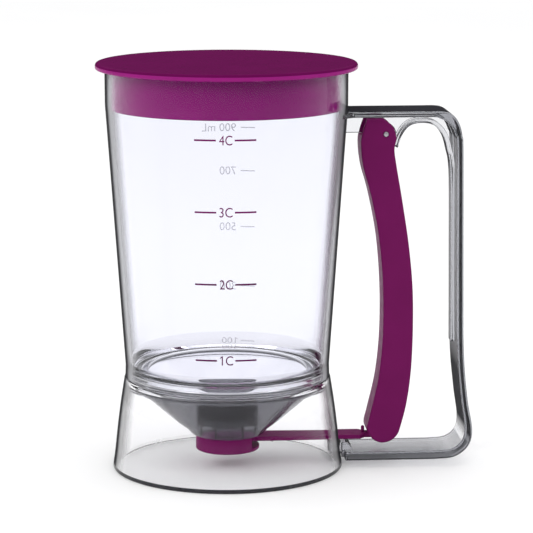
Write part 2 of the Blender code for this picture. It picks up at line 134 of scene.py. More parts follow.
# Valve
HOUSING_R = 15.0
HOUSING_WALL = 2.4
HOUSING_BOTTOM_Z = 8.1
HOUSING_FLOOR = 1.7
SEAT_DISC_R = 13.4
SEAT_DISC_TOP_Z = 16.4
OUTLET_R = 7.6
DISCHARGE_R = 8.4
GATE_WAY_X = (5.0, 17.0)   # the housing's side slot
GATE_Z = (12.5, 14.5)
GATE_R = 10.0
GATE_BAR_W = 12.0
GATE_NECK_W = 7.0
GATE_NECK_X = 65.0
GATE_SHOULDER = 2.5    # length of the slope from the bar's width to the neck's
GATE_END_X = 71.4
PEG_X = 64.3
PEG_R = 0.8
PEG_TOP_Z = 17.7
TAB_X = 69.4
TAB_TOP_Z = 18.5
BARB_X = (18.8, 21.2)
BARB_DEPTH = 0.9

# Handle
HANDLE_W = 27.0
ARM_ROOT_X = 50.0      # inside the jug's wall, which trims what goes past it
ARM_TOP_Z = 168.9
ARM_UNDER_Z = 166.2
BASE_ARM_ROOT_X = 55.0
BASE_ARM_TOP_Z = 7.8
BASE_ARM_UNDER_Z = 3.7
GRIP_OUTER = ((93.0, 168.9), (98.0, 168.9), (101.5, 168.4), (104.2, 166.9), (106.1, 164.5),
              (107.5, 161.3), (108.4, 157.0), (109.0, 149.0), (109.8, 90.0), (110.5, 55.0),
              (112.5, 33.0), (114.9, 18.0), (113.2, 9.9), (106.5, 4.7), (97.0, 3.7))
GRIP_INNER = ((97.0, 7.8), (105.0, 8.6), (109.9, 12.3), (111.3, 19.5), (109.4, 33.5),
              (107.4, 55.0), (106.7, 90.0), (106.0, 149.0), (105.0, 158.0), (101.8, 163.4),
              (96.5, 166.2))
STRAP_EDGE_R = 0.9
WEB_T = 3.0
WEB_TOP_Z = 167.4
WEB_UNDER_Z = 157.9
WEB_FOOT_Z = 140.0     # the web ends here, down the grip
WEB_HEEL = ((66.5, 157.9), (69.0, 153.4), (73.0, 150.9), (77.5, 150.2))
WEB_BACK = ((107.4, WEB_FOOT_Z), (107.2, 156.0), (104.0, 163.8), (98.0, WEB_TOP_Z))
RIB_W = 8.0
RIB_T = 2.2
RIB_FACE = ((79.5, 151.0), (81.6, 157.0), (85.2, 161.2), (90.6, 162.4), (96.2, 161.3),
            (100.3, 157.0), (102.6, 150.0), (104.4, 138.5), (105.0, 101.0), (105.5, 58.5))
FLARE_R = 14.0         # hollow corner where the top arm widens on to the jug
FLARE_ROOT = (44.0, 18.0)
LUG_W = 14.0
LUG_TOP_Z = 11.4
LUG_X = 59.0
LUG_CORNER_R = 5.0
TONGUE_W = 10.0
TONGUE_Z = (5.2, 9.2)
HOOK_X = (48.6, 50.3)
HOOK_TOP_Z = 11.2
HOOK_SLOPE = 1.2       # lead-in at the hook's tip

# Trigger and its pivot
TRIGGER_W = 16.0
CHEEK_T = 2.0
FACE_T = 2.0
TRIGGER_EDGE_R = 0.8
TRIGGER_OUTLINE = ((64.6, 165.0), (62.5, 158.6), (61.8, 152.5), (63.0, 142.5), (66.7, 129.0),
                   (70.6, 109.0), (72.6, 86.0), (72.7, 62.0), (70.8, 42.0), (67.2, 25.5),
                   (65.6, 18.5), (66.6, 14.9), (69.2, 12.0), (72.8, 10.8), (77.0, 11.8),
                   (80.0, 14.6), (81.5, 18.5), (84.3, 30.0), (86.3, 46.0), (87.0, 66.0),
                   (86.6, 86.0), (84.6, 106.0), (81.4, 126.5), (78.6, 142.5), (77.5, 150.5),
                   (78.3, 156.0), (76.6, 161.4), (72.3, 165.0))
TRIGGER_HEEL = 17      # index of the last outline point that the closed wall follows
FACE_TOP_Z = 157.0     # above this the trigger is two cheeks, open on the finger side too
BAR_NOTCH_TOP_Z = 15.6
CHANNEL_END = (95.0, 170.0)    # the channel's cutter, clear of the trigger
PIN_R = 1.2
PIN_EDGE_R = 0.45
PIN_BORE_R = 1.35
PIN_BORE_Y = (-7.0, 3.0)
PIN_Y = (-8.4, 9.5)
CLIP_R = 3.0
CLIP_BORE_R = 1.25
CLIP_Y = (8.3, 9.0)
CLIP_SLIT_W = 0.9
BOSS_R = 5.0
BOSS_Y = (-5.6, 1.4)
SPRING_R = 3.4         # the coil's middle line
SPRING_WIRE_R = 0.45
SPRING_Y = (2.1, 5.3)
SPRING_TURNS = 3.0
TURN_STEPS = 48        # segments in each turn
SPRING_LEG_END = (65.3, 147.0)
SPRING_TAIL_ANGLE = math.radians(60.0)
SPRING_TAIL_Y = -0.6
SPRING_HOLE_R = 0.8

# Printed scales: height of the line, and the lettering beside it
FRONT = math.radians(-94.3)        # azimuth of the cup scale's middle; the other one is opposite
CUP_SCALE = ((161.9, "4C"), (129.3, "3C"), (96.2, "2C"), (60.8, "1C"))
CUP_TEXT = (-2.5, 3.4)
CUP_TEXT_H = 4.4
CUP_LINES = ((-13.7, -3.9), (4.4, 14.1))
LINE_W = 0.8
ML_SCALE = ((154.0, "900 mL"), (132.6, "700"), (104.8, "500"), (75.2, "300"), (46.9, "100"))
ML_TEXT_X = -3.7
ML_TEXT_H = 4.0
ML_LINE = (-13.3, -6.1)
ML_LINE_W = 0.5
STRIP_W = 0.6          # lettering is cut this narrow, so that it bends round the jug
INK_T = 0.05
INK_PROUD = 0.04       # gap between the wall and the ink

# Studio, in metres and watts
FLOOR_DROP = 0.00005   # space under the foot
CAMERA_PLACE = (-0.0940, -1.1358, 0.3029)
CAMERA_AIM = (0.07376, 0.98099, -0.17954)      # direction
CAMERA_LENS = 166.81
DOME_STRENGTH = 1.24
DOME_BAND = (0.22, 0.5)        # the dome goes from dark to white between these heights
LIGHT_AIM = (0.0, 0.0, 0.1)
LIGHTS = (("overhead_softbox", (0.0, 0.15, 1.6), (1.8, 1.8), 2.0),
          ("left_softbox", (-1.35, -0.75, 0.75), (0.7, 1.3), 6.0),
          ("right_softbox", (1.45, -0.6, 0.8), (0.6, 1.3), 4.0))


# ---------------------------------------------------------------- outlines

def arc(centre, radius, start, end, steps):
    """Points on an arc, angles in degrees, both ends included."""
    angles = [math.radians(start + (end - start) * i / steps) for i in range(steps + 1)]
    return [(centre[0] + radius * math.cos(a), centre[1] + radius * math.sin(a)) for a in angles]


def smooth(points, steps=SMOOTH_STEPS):
    """Open Catmull-Rom curve through the points, both ends included."""
    ends = [Vector(p) for p in points]
    ends = [2 * ends[0] - ends[1]] + ends + [2 * ends[-1] - ends[-2]]
    curve = []
    for a, b, c, d in zip(ends, ends[1:], ends[2:], ends[3:]):
        for i in range(steps):
            t = i / steps
            curve.append(0.5 * ((2 * b) + (c - a) * t + (2 * a - 5 * b + 4 * c - d) * t * t
                                + (3 * b - a - 3 * c + d) * t * t * t))
    curve.append(ends[-2])
    return [(p.x, p.y) for p in curve]


def offset(points, distance):
    """The open curve moved sideways, to the left of its direction where distance is positive."""
    moved = []
    for i, point in enumerate(points):
        before = Vector(points[max(i - 1, 0)])
        after = Vector(points[min(i + 1, len(points) - 1)])
        along = (after - before).normalized()
        moved.append((point[0] - along.y * distance, point[1] + along.x * distance))
    return moved


def inset(points, distance):
    """A closed anticlockwise outline moved inwards."""
    moved = []
    for i, point in enumerate(points):
        here = Vector(point)
        along = (here - Vector(points[i - 1])).normalized()
        onward = (Vector(points[(i + 1) % len(points)]) - here).normalized()
        left = Vector((-along.y, along.x))
        middle = (left + Vector((-onward.y, onward.x))).normalized()
        moved.append(here + middle * distance / max(middle.dot(left), 0.5))
    return moved


def anticlockwise(points):
    """The closed outline, turned round if it runs clockwise."""
    area = sum(a[0] * b[1] - b[0] * a[1] for a, b in zip(points, [*points[1:], points[0]]))
    return list(points) if area > 0 else list(points)[::-1]


def filleted(corners, steps=6):
    """Closed outline through (x, z, radius) corners, each rounded to its own radius."""
    outline = []
    for i, (x, z, radius) in enumerate(corners):
        here = Vector((x, z))
        if not radius:
            outline.append((x, z))
            continue
        back = (Vector(corners[i - 1][:2]) - here).normalized()
        onward = (Vector(corners[(i + 1) % len(corners)][:2]) - here).normalized()
        half = back.angle(onward) / 2
        centre = here + (back + onward).normalized() * radius / math.sin(half)
        start = here + back * radius / math.tan(half) - centre
        end = here + onward * radius / math.tan(half) - centre
        for step in range(steps + 1):
            outline.append(tuple(centre + start.slerp(end, step / steps) * radius))
    return outline


def jug_radius(z):
    """Outer radius of the jug's straight taper."""
    (r0, z0), (r1, z1) = TAPER_BOTTOM, TAPER_TOP
    return r0 + (r1 - r0) * (z - z0) / (z1 - z0)


# ---------------------------------------------------------------- making meshes

def new_piece(name, bm, material=None, sharp=32.0):
    """Turn a bmesh in millimetres into an object in the frame."""
    bmesh.ops.remove_doubles(bm, verts=bm.verts, dist=1e-4)
    bmesh.ops.recalc_face_normals(bm, faces=bm.faces)
    bmesh.ops.transform(bm, matrix=TO_FRAME, verts=bm.verts)
    mesh = bpy.data.meshes.new(name)
    bm.to_mesh(mesh)
    bm.free()
    if material:
        mesh.materials.append(material)
    mesh.shade_smooth()
    mesh.set_sharp_from_angle(angle=math.radians(sharp))
    obj = bpy.data.objects.new(name, mesh)
    bpy.context.scene.collection.objects.link(obj)
    return obj


def turned(name, profile, material=None, steps=ROUND_STEPS, place=None):
    """Turn a closed outline of (radius, height) points once round the jug's axis.

    An outline that starts and ends on the axis is left open there. place moves the result.
    """
    bm = bmesh.new()
    verts = [bm.verts.new((r, 0.0, z)) for r, z in profile]
    pairs = list(zip(verts, verts[1:]))
    if profile[0][0] > 0.0:
        pairs.append((verts[-1], verts[0]))
    edges = [bm.edges.new(pair) for pair in pairs]
    bmesh.ops.spin(bm, geom=verts + edges, cent=(0, 0, 0), axis=(0, 0, 1),
                   angle=2 * math.pi, steps=steps, use_merge=True)
    if place:
        bmesh.ops.transform(bm, matrix=place, verts=bm.verts)
    return new_piece(name, bm, material)


def plate(name, outline, low, high, edge_r, upright=True, material=None):
    """A plate with rounded edges.

    Upright, its outline is in XZ and it lies between two Y limits. Flat, its outline is in XY and
    it lies between two heights.
    """
    outline = anticlockwise(outline)
    if edge_r:
        turns = [math.radians(90.0 * i / 4) for i in range(5)]
        side = [(edge_r + SUPPORT, 0.0)]
        side += [(edge_r * (1 - math.sin(a)), edge_r * (1 - math.cos(a))) for a in turns]
        side.append((0.0, edge_r + SUPPORT))
        rings = [(inwards, low + rise) for inwards, rise in side]
        rings += [(inwards, high - rise) for inwards, rise in reversed(side)]
    else:
        rings = [(0.0, low), (0.0, high)]
    bm = bmesh.new()
    loops = []
    for inwards, level in rings:
        points = inset(outline, inwards) if inwards else [Vector(p) for p in outline]
        places = [(p.x, level, p.y) if upright else (p.x, p.y, level) for p in points]
        loops.append([bm.verts.new(place) for place in places])
    for lower, upper in zip(loops, loops[1:]):
        for i in range(len(lower)):
            bm.faces.new((lower[i - 1], lower[i], upper[i], upper[i - 1]))
    bm.faces.new(loops[0])
    bm.faces.new(loops[-1])
    return new_piece(name, bm, material)


def block(name, x, y, z):
    """A box between pairs of limits."""
    outline = [(x[0], y[0]), (x[1], y[0]), (x[1], y[1]), (x[0], y[1])]
    return plate(name, outline, z[0], z[1], 0.0, upright=False)


def across(centre):
    """Moves something turned round the jug's axis on to an axis along Y through (x, z)."""
    return Matrix.Translation((centre[0], 0.0, centre[1])) @ Matrix.Rotation(-math.pi / 2, 4, "X")


def cross_rod(name, centre, radius, y, edge=0.0, material=None):
    """A round rod along Y, with rounded ends where edge is given."""
    outline = [(0.0, y[1])]
    outline += arc((radius - edge, y[1] - edge), edge, 90, 0, 5) if edge else [(radius, y[1])]
    outline += arc((radius - edge, y[0] + edge), edge, 0, -90, 5) if edge else [(radius, y[0])]
    outline.append((0.0, y[0]))
    return turned(name, outline, material, steps=SMALL_STEPS, place=across(centre))


def evaluated_mesh(obj):
    """The mesh that an object's curve or modifiers make."""
    bpy.context.view_layer.update()
    depsgraph = bpy.context.evaluated_depsgraph_get()
    return bpy.data.meshes.new_from_object(obj.evaluated_get(depsgraph))


def curve_mesh(curve):
    """A curve's solid as a mesh."""
    holder = bpy.data.objects.new(curve.name, curve)
    bpy.context.scene.collection.objects.link(holder)
    mesh = evaluated_mesh(holder)
    bpy.data.objects.remove(holder, do_unlink=True)
    return mesh


def carve(obj, operation, *tools):
    """Join or cut an object with tool objects, which are used up."""
    for tool in tools:
        modifier = obj.modifiers.new(tool.name, "BOOLEAN")
        modifier.object = tool
        modifier.operation = operation
        modifier.solver = "EXACT"
    mesh = evaluated_mesh(obj)
    obj.modifiers.clear()
    obj.data = mesh
    for tool in tools:
        bpy.data.objects.remove(tool, do_unlink=True)
    return obj


def join(obj, *tools):
    return carve(obj, "UNION", *tools)


def cut(obj, *tools):
    return carve(obj, "DIFFERENCE", *tools)


def tidy_shading(obj, sharp=32.0):
    """Sharp edges where faces meet at an angle, and flat faces shaded flat after cutting."""
    obj.data.shade_smooth()
    obj.data.set_sharp_from_angle(angle=math.radians(sharp))
    modifier = obj.modifiers.new("even_shading", "WEIGHTED_NORMAL")
    modifier.keep_sharp = True
    return obj


def second_material(obj, material, chosen):
    """Give faces a second material, of painted light or shade, where chosen(radius, height, outward,
    upward) says so.
    """
    obj.data.materials.append(material)
    index = len(obj.data.materials) - 1
    for face in obj.data.polygons:
        x, y, z = TO_FRAME.inverted() @ face.center
        radius = math.hypot(x, y)
        outward = (face.normal.x * x + face.normal.y * y) / max(radius, 0.1)
        if chosen(radius, z, outward, face.normal.z):
            face.material_index = index


def stand_for(obj, node, body):
    """The object takes the place of a CAD node and moves with its body."""
    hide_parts(node)
    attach(obj, body)
    return obj


# ---------------------------------------------------------------- materials

def new_material(name):
    """A material, its node tree and its Principled shader."""
    material = bpy.data.materials.new(name)
    material.use_nodes = True
    return material, material.node_tree, material.node_tree.nodes["Principled BSDF"]


def add_node(tree, kind, **sockets):
    """A node with its named input sockets set, or linked where the value is a socket."""
    node = tree.nodes.new(kind)
    for name, value in sockets.items():
        socket = node.inputs[name.replace("_", " ")]
        if isinstance(value, bpy.types.NodeSocket):
            tree.links.new(value, socket)
        else:
            socket.default_value = value
    return node


def surface_noise(tree, scale, detail=3.0):
    """Noise fixed to the piece; scale is in lumps for each metre."""
    place = tree.nodes.new("ShaderNodeTexCoord").outputs["Object"]
    noise = add_node(tree, "ShaderNodeTexNoise", Vector=place, Scale=scale, Detail=detail)
    return noise.outputs["Fac"]


def spread(tree, value, from_limits, to_limits):
    """The value moved from one range to another, held at the ends."""
    node = add_node(tree, "ShaderNodeMapRange", Value=value)
    node.inputs["From Min"].default_value = from_limits[0]
    node.inputs["From Max"].default_value = from_limits[1]
    node.inputs["To Min"].default_value = to_limits[0]
    node.inputs["To Max"].default_value = to_limits[1]
    return node.outputs["Result"]


def blend_colour(tree, factor, first, second):
    """Mix of two colours, either of which may be another node's output."""
    node = tree.nodes.new("ShaderNodeMix")
    node.data_type = "RGBA"
    tree.links.new(factor, node.inputs["Factor"])
    for socket, value in ((node.inputs[6], first), (node.inputs[7], second)):
        if isinstance(value, bpy.types.NodeSocket):
            tree.links.new(value, socket)
        else:
            socket.default_value = (*value, 1.0)
    return node.outputs[2]


def add_bump(tree, shader, layers):
    """Stack of (height socket, distance in mm, strength) bumps."""
    normal = None
    for height, distance, strength in layers:
        node = add_node(tree, "ShaderNodeBump", Height=height, Distance=distance * MM,
                        Strength=strength)
        if normal:
            tree.links.new(normal, node.inputs["Normal"])
        normal = node.outputs["Normal"]
    tree.links.new(normal, shader.inputs["Normal"])


def moulded(name, colour, roughness, specular, grain=1900.0, grain_depth=0.006):
    """Opaque moulded plastic with faint flow mottling, a fine spark-eroded grain and rub marks."""
    material, tree, shader = new_material(name)
    flow = surface_noise(tree, 55.0, 2.0)
    fine = surface_noise(tree, grain, 4.0)
    rubbed = surface_noise(tree, 260.0, 5.0)
    shade = [tuple(c * k for c in colour) for k in (0.965, 1.035)]
    tree.links.new(blend_colour(tree, spread(tree, flow, (0.35, 0.65), (0.0, 1.0)), *shade),
                   shader.inputs["Base Color"])
    tree.links.new(spread(tree, rubbed, (0.3, 0.7), (roughness - 0.05, roughness + 0.07)),
                   shader.inputs["Roughness"])
    shader.inputs["Specular IOR Level"].default_value = specular
    add_bump(tree, shader, [(flow, 0.05, 0.25), (fine, grain_depth, 0.5)])
    return material


def let_lamps_through(tree, shader, colour):
    """Let light from the lamps and the dome through see-through plastic, tinted."""
    ray = tree.nodes.new("ShaderNodeLightPath").outputs["Is Shadow Ray"]
    window = add_node(tree, "ShaderNodeBsdfTransparent")
    window.inputs["Color"].default_value = (*colour, 1.0)
    mix = tree.nodes.new("ShaderNodeMixShader")
    tree.links.new(ray, mix.inputs["Fac"])
    tree.links.new(shader.outputs["BSDF"], mix.inputs[1])
    tree.links.new(window.outputs["BSDF"], mix.inputs[2])
    tree.links.new(mix.outputs["Shader"], tree.nodes["Material Output"].inputs["Surface"])


def clear(name, colour, edge, grazing=(0.58, 0.82), shine=0.35, lamps=1.0, milky=0.035,
          absorbed=(0.5, 0.5, 0.5), density=0.0):
    """Clear moulded plastic: painted shade where it is seen edge on, tinted by its depth."""
    material, tree, shader = new_material(name)
    facing = add_node(tree, "ShaderNodeLayerWeight", Blend=0.5).outputs["Facing"]
    # painted shade in place of reflected dark surroundings: darker and less see-through where seen
    # edge on
    painted_edge_shade = spread(tree, facing, grazing, (0.0, 1.0))
    tree.links.new(blend_colour(tree, painted_edge_shade, colour, edge), shader.inputs["Base Color"])
    tree.links.new(spread(tree, facing, grazing, (1.0, 0.05)), shader.inputs["Transmission Weight"])
    haze = surface_noise(tree, 30.0, 2.0)
    flow = surface_noise(tree, 60.0, 1.0)
    tree.links.new(spread(tree, haze, (0.45, 0.75), (0.0, milky)), shader.inputs["Roughness"])
    shader.inputs["IOR"].default_value = 1.5
    shader.inputs["Specular IOR Level"].default_value = 0.0
    shader.inputs["Specular Tint"].default_value = (shine, shine, shine, 1.0)
    add_bump(tree, shader, [(flow, 0.04, 0.12)])
    if density:
        volume = add_node(tree, "ShaderNodeVolumeAbsorption", Density=density)
        volume.inputs["Color"].default_value = (*absorbed, 1.0)
        output = tree.nodes["Material Output"]
        tree.links.new(volume.outputs["Volume"], output.inputs["Volume"])
    let_lamps_through(tree, shader, (lamps, lamps, lamps))
    return material


def smoke(name, dark, light, roughness, lamps):
    """Grey see-through plastic, with painted light on its back faces, where light comes out of it."""
    material, tree, shader = new_material(name)
    side = tree.nodes.new("ShaderNodeNewGeometry").outputs["Backfacing"]
    streaks = surface_noise(tree, 40.0, 3.0)
    shades = [tuple(c * k for c in dark) for k in (0.9, 1.1)]
    grey = blend_colour(tree, spread(tree, streaks, (0.35, 0.65), (0.0, 1.0)), *shades)
    # painted light: back faces take the light colour, front faces the grey one
    tree.links.new(blend_colour(tree, side, grey, light), shader.inputs["Base Color"])
    tree.links.new(spread(tree, streaks, (0.3, 0.7), (roughness * 0.6, roughness * 1.4)),
                   shader.inputs["Roughness"])
    shader.inputs["Transmission Weight"].default_value = 0.94
    shader.inputs["IOR"].default_value = 1.4
    shader.inputs["Specular IOR Level"].default_value = 0.1
    shader.inputs["Specular Tint"].default_value = (0.2, 0.2, 0.2, 1.0)
    let_lamps_through(tree, shader, (lamps, lamps, lamps))
    return material


def steel(name):
    """Drawn wire steel with fine lengthwise scratches."""
    material, tree, shader = new_material(name)
    scratches = surface_noise(tree, 3000.0, 3.0)
    shader.inputs["Base Color"].default_value = (0.42, 0.40, 0.43, 1.0)
    shader.inputs["Metallic"].default_value = 1.0
    tree.links.new(spread(tree, scratches, (0.3, 0.7), (0.18, 0.38)), shader.inputs["Roughness"])
    add_bump(tree, shader, [(scratches, 0.004, 0.4)])
    return material


def ink(name, colour, speckle, cover=1.0):
    """Screen-printed ink, with the odd pinhole-like change of tone."""
    material, tree, shader = new_material(name)
    spots = surface_noise(tree, 2600.0, 2.0)
    patches = spread(tree, spots, (0.45, 0.75), (0.0, 1.0))
    tree.links.new(blend_colour(tree, patches, colour, speckle), shader.inputs["Base Color"])
    shader.inputs["Roughness"].default_value = 0.5
    shader.inputs["Specular IOR Level"].default_value = 0.1
    shader.inputs["Alpha"].default_value = cover
    return material


def pale_floor(name):
    """Matt near-white sweep with hardly visible clouding."""
    material, tree, shader = new_material(name)
    cloud = surface_noise(tree, 3.0, 2.0)
    tree.links.new(blend_colour(tree, cloud, (0.90, 0.90, 0.905), (0.93, 0.93, 0.93)),
                   shader.inputs["Base Color"])
    shader.inputs["Roughness"].default_value = 0.9
    shader.inputs["Specular IOR Level"].default_value = 0.0
    return material


PURPLE_GLOSS = moulded("purple_gloss", (0.118, 0.0038, 0.068), 0.20, 0.002, grain_depth=0.002)
# a lighter copy of the lid's purple: painted light on its sides
PURPLE_LIT_SIDES = moulded("purple_sides_painted_light", (0.290, 0.015, 0.180), 0.25, 0.03, grain_depth=0.002)
PURPLE_SATIN = moulded("purple_satin", (0.148, 0.0078, 0.086), 0.40, 0.04)
SILICONE = moulded("purple_silicone", (0.72, 0.16, 0.60), 0.62, 0.15, grain=1200.0)
# the clear pieces below get painted shade at their edges from clear()
CLEAR_JUG = clear("clear_jug", (0.930, 0.935, 0.980), (0.03, 0.03, 0.033), shine=0.12)
CLEAR_SKIRT = clear("clear_skirt", (0.99, 0.99, 1.0), (0.03, 0.03, 0.033), shine=0.12)
# a greyer copy of the clear plastic: painted shade on the ring round the jug's floor and the skirt's
# seat
CLEAR_LEDGE_SHADED = clear("clear_ledge_painted_shade", (0.80, 0.80, 0.84), (0.20, 0.20, 0.21), grazing=(0.84, 1.0))
CLEAR_HANDLE = clear("clear_handle", (0.95, 0.952, 0.965), (0.03, 0.03, 0.035),
                     grazing=(0.79, 0.87), lamps=1.0, absorbed=(0.40, 0.41, 0.45), density=65.0)
# near-black: painted contact shadow along the skirt's foot
FOOT_CONTACT_SHADOW = smoke("foot_painted_contact_shadow", (0.004, 0.004, 0.005), (0.9, 0.9, 0.9), 0.2, 1.0)
# the funnel's grey outside, darkened with painted shade
SMOKE_SHADED_OUTSIDE = smoke("smoke_outside_painted_shade", (0.040, 0.040, 0.042), (0.88, 0.88, 0.93), 0.10, 0.97)
# painted light on the funnel's inside and the sleeve's lower part
SMOKE_LIT_INSIDE = smoke("smoke_inside_painted_light", (0.90, 0.90, 0.95), (0.90, 0.90, 0.95), 0.10, 0.97)
# a middle shade of the funnel's grey: painted shade on its flange
FLANGE_MID_SHADE = smoke("flange_painted_mid_shade", (0.24, 0.24, 0.25), (0.24, 0.24, 0.25), 0.10, 0.95)
SMOKE_SLEEVE = smoke("smoke_sleeve", (0.28, 0.28, 0.295), (0.28, 0.28, 0.295), 0.12, 0.7)
STEEL = steel("steel")
CUP_INK = ink("cup_ink", (0.15, 0.004, 0.095), (0.17, 0.006, 0.11))
PALE_INK = ink("pale_ink", (0.70, 0.69, 0.73), (0.74, 0.73, 0.77), cover=0.4)


# ---------------------------------------------------------------- lid, jug, skirt

def make_lid():
    inner_r = PLUG_R - PLUG_WALL
    ceiling = LID_TOP_Z - LID_WEB
    edge, under = LID_EDGE_R, LID_UNDER_EDGE_R
    foot_out = PLUG_R - PLUG_TAPER - PLUG_EDGE_R
    foot_in = inner_r - PLUG_TAPER + PLUG_EDGE_R
    foot_z = PLUG_BOTTOM_Z + PLUG_EDGE_R
    profile = [(0.0, LID_TOP_Z), (LID_R - 1.2 * edge, LID_TOP_Z),
               *arc((LID_R - edge, LID_TOP_Z - edge), edge, 90, 0, 8),
               *arc((LID_R - under, LID_RIM_Z + under), under, 0, -90, 6),
               *arc((PLUG_R + PLUG_ROOT_R, LID_RIM_Z - PLUG_ROOT_R), PLUG_ROOT_R, 90, 180, 4),
               *arc((foot_out, foot_z), PLUG_EDGE_R, 0, -90, 5),
               *arc((foot_in, foot_z), PLUG_EDGE_R, -90, -180, 5),
               *arc((inner_r - LID_FILLET_R, ceiling - LID_FILLET_R), LID_FILLET_R, 0, 90, 6),
               (0.0, ceiling)]
    lid = turned("lid_moulding", profile, PURPLE_GLOSS)
    # painted light on the lid's sides
    second_material(lid, PURPLE_LIT_SIDES,
                    lambda r, z, out, up: z < LIT_SIDES_TOP_Z and out > 0.2 and r > PLUG_R - 1)
    return stand_for(lid, "lid", "lid")


def make_jug():
    rim_top = LID_RIM_Z - GAP
    wall = JUG_WALL
    corners = [(FOOT_R, SEAM_Z, 0.35), (WAIST_R, WAIST_Z, WAIST_BEND_R), (*TAPER_TOP, TAPER_BEND_R),
               (RIM_R, rim_top, 0.5), (RIM_R - wall, rim_top, 0.5),
               (TAPER_TOP[0] - wall, TAPER_TOP[1], TAPER_BEND_R),
               (jug_radius(FLOOR_Z) - wall, FLOOR_Z, FLOOR_FILLET_R),
               (FLOOR_OPENING_R, FLOOR_Z, 0.6), (FLOOR_OPENING_R, SEAM_Z, 0.4)]
    jug = turned("jug_barrel", filleted(corners, steps=8), CLEAR_JUG)
    ledge_top = FLOOR_Z + FLOOR_FILLET_R + 0.5
    # painted shade on the ledge round the jug's floor
    second_material(jug, CLEAR_LEDGE_SHADED,
                    lambda r, z, out, up: z < ledge_top and (out < 0.3 or r < LEDGE_OUTER_R))
    return stand_for(jug, "jug", "jug_assembly")


def make_skirt():
    top = SEAM_Z - GAP
    outer = smooth(SKIRT_OUTLINE[::-1], 5)
    inner = smooth([(r - SKIRT_WALL, z) for r, z in SKIRT_OUTLINE[:-1]], 5)
    foot_out = SKIRT_OUTLINE[0][0]
    foot_in = foot_out - SKIRT_WALL
    outline = [(REBATE_R, top), (SKIRT_TOP_R, top), *outer,
               *arc((foot_out - 0.8, 0.8), 0.8, 0, -90, 5)[1:],
               *arc((foot_in + 0.5, 0.5), 0.5, -90, -180, 4), *inner[1:], SEAT_FOOT,
               (SEAT_R, SEAT_Z - SEAT_T), (SEAT_R, SEAT_Z), (REBATE_R, SEAT_Z)]
    skirt = turned("base_skirt_moulding", outline, CLEAR_SKIRT)
    bar_half = GATE_BAR_W / 2 + 0.5
    tongue_half = TONGUE_W / 2 + 0.4
    cut(skirt,
        block("bar_slot", (46, 56), (-bar_half, bar_half), (GATE_Z[0] - 0.6, GATE_Z[1] + 0.6)),
        block("tongue_slot", (47, 56), (-tongue_half, tongue_half),
              (TONGUE_Z[0] - 0.4, TONGUE_Z[1] + 0.4)))
    # painted contact shadow along the foot's outer edge
    second_material(skirt, FOOT_CONTACT_SHADOW, lambda r, z, out, up: z < 1.5 and out > 0.2)
    # painted shade on the skirt's seat under the jug's ledge
    second_material(skirt, CLEAR_LEDGE_SHADED,
                    lambda r, z, out, up: z > SEAT_FOOT[1] - 0.5 and r < REBATE_R + 0.5)
    return stand_for(tidy_shading(skirt), "base_skirt", "jug_assembly")


# ---------------------------------------------------------------- funnel and valve

def make_funnel():
    top = SEAM_Z - GAP
    under = top - FLANGE_T
    inner_offset = CONE_OUTER_OFFSET - CONE_WALL * math.sqrt(2.0)
    corners = [(FLANGE_R, top, 0.25), (FLANGE_R, under, 0.25),
               (under + CONE_OUTER_OFFSET, under, 0.0),
               (CONE_FOOT_R, CONE_FOOT_R - CONE_OUTER_OFFSET, 0.8), (SPIGOT_R, FUNNEL_BOTTOM_Z, 0.5),
               (FUNNEL_BOTTOM_Z + inner_offset, FUNNEL_BOTTOM_Z, 0.2),
               (top + inner_offset, top, 0.3)]
    funnel = turned("funnel_cone", anticlockwise(filleted(corners)), SMOKE_SHADED_OUTSIDE)
    # painted light on the funnel's inside faces
    second_material(funnel, SMOKE_LIT_INSIDE, lambda r, z, out, up: out < -0.3)
    # painted shade, a middle grey, on the flange
    second_material(funnel, FLANGE_MID_SHADE, lambda r, z, out, up: z > under - 0.05)
    return stand_for(funnel, "funnel", "jug_assembly")


def make_sleeve():
    foot = SEAT_DISC_TOP_Z + GAP
    corners = [(SLEEVE_R, foot, 0.15), (SLEEVE_R, SLEEVE_DARK_Z, 0.0),
               (SLEEVE_R, SLEEVE_TOP_Z, 0.5), (SLEEVE_BORE_R, SLEEVE_TOP_Z, 0.5),
               (SLEEVE_BORE_R, SLEEVE_DARK_Z, 0.0), (SLEEVE_BORE_R, foot, 0.15)]
    sleeve = turned("sleeve_tube", filleted(corners), SMOKE_SLEEVE, steps=96)
    # painted light on the sleeve below SLEEVE_DARK_Z
    second_material(sleeve, SMOKE_LIT_INSIDE, lambda r, z, out, up: z < SLEEVE_DARK_Z)
    reach = SLEEVE_R + 4.0
    half = PORT_W / 2
    ports = []
    for angle in PORT_ANGLES:
        turn = Matrix.Rotation(math.radians(angle), 2)
        corners = [(-reach, -half), (reach, -half), (reach, half), (-reach, half)]
        outline = [tuple(turn @ Vector(corner)) for corner in corners]
        ports.append(plate(f"port_{angle:.0f}", outline, foot - 1.0, PORT_TOP_Z, 0.0,
                           upright=False))
    cut(sleeve, *ports)
    return stand_for(tidy_shading(sleeve), "outlet_sleeve", "jug_assembly")


def make_seat():
    under = GATE_Z[1] + GAP
    step_r = HOUSING_R - HOUSING_WALL - GAP
    corners = [(SEAT_DISC_R, SEAT_DISC_TOP_Z, 0.3), (SEAT_DISC_R, FUNNEL_BOTTOM_Z, 0.0),
               (step_r, FUNNEL_BOTTOM_Z, 0.0), (step_r, under, 0.15), (OUTLET_R, under, 0.2),
               (OUTLET_R, SEAT_DISC_TOP_Z, 0.6)]
    seat = turned("valve_seat_disc", filleted(corners), SILICONE, steps=96)
    return stand_for(seat, "valve_seat", "jug_assembly")


